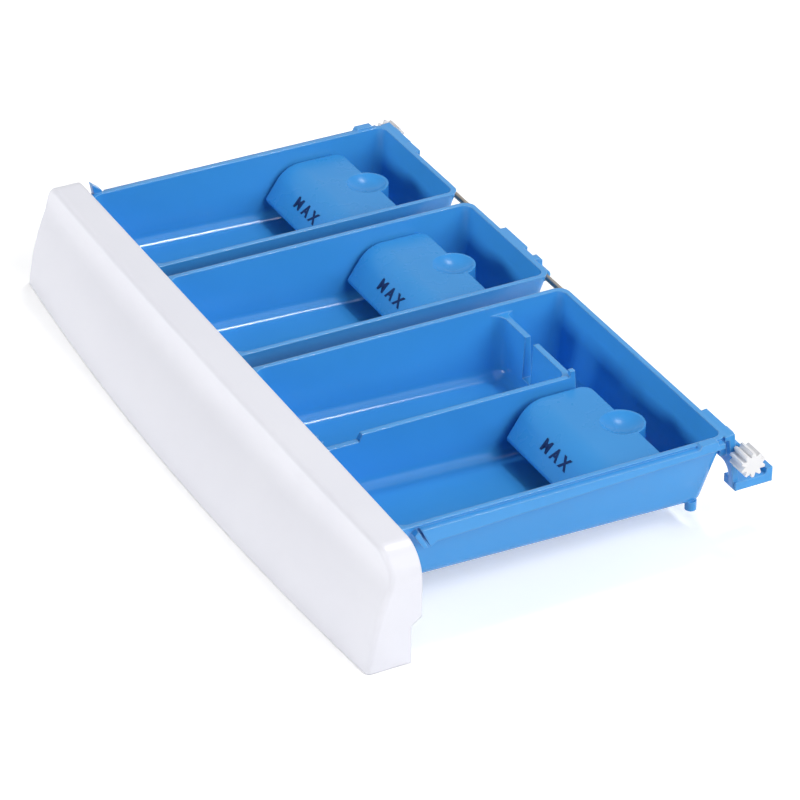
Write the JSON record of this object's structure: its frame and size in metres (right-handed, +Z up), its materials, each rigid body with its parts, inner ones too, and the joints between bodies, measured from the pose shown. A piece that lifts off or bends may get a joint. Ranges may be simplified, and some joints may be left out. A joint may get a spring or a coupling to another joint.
{
  "type": "detergent dispenser drawer",
  "caption": "Washing machine detergent drawer: bowed white front panel, blue hanging trays with siphon caps, and a cross shaft with a guide pinion on each end.",
  "frame": {"origin": "middle of the front panel's width, on the flat rear face of its back plate, at the height of the tray rims", "axes": "+X along the panel towards the double tray, +Y back into the machine, +Z up"},
  "size_m": [0.374, 0.2242, 0.0559],
  "materials": {
    "panel_white": "satin white moulding",
    "tray_blue": "semi-gloss blue moulding",
    "cap_blue": "satin blue moulding",
    "shaft_steel": "drawn steel rod",
    "pinion_white": "natural white moulding"
  },
  "bodies": {
    "drawer": {"front_panel": "panel_white", "left_tray": "tray_blue", "middle_tray": "tray_blue", "right_tray": "tray_blue", "left_siphon_cap": "cap_blue", "middle_siphon_cap": "cap_blue", "right_siphon_cap": "cap_blue"},
    "drive": {"cross_shaft": "shaft_steel", "left_pinion": "pinion_white", "right_pinion": "pinion_white"}
  },
  "joints": [
    {"name": "shaft_spin", "type": "hinge", "parent": "drawer", "child": "drive", "pos_m": [0, 0.1726, -0.0105], "axis": [1, 0, 0], "continuous": true}
  ]
}
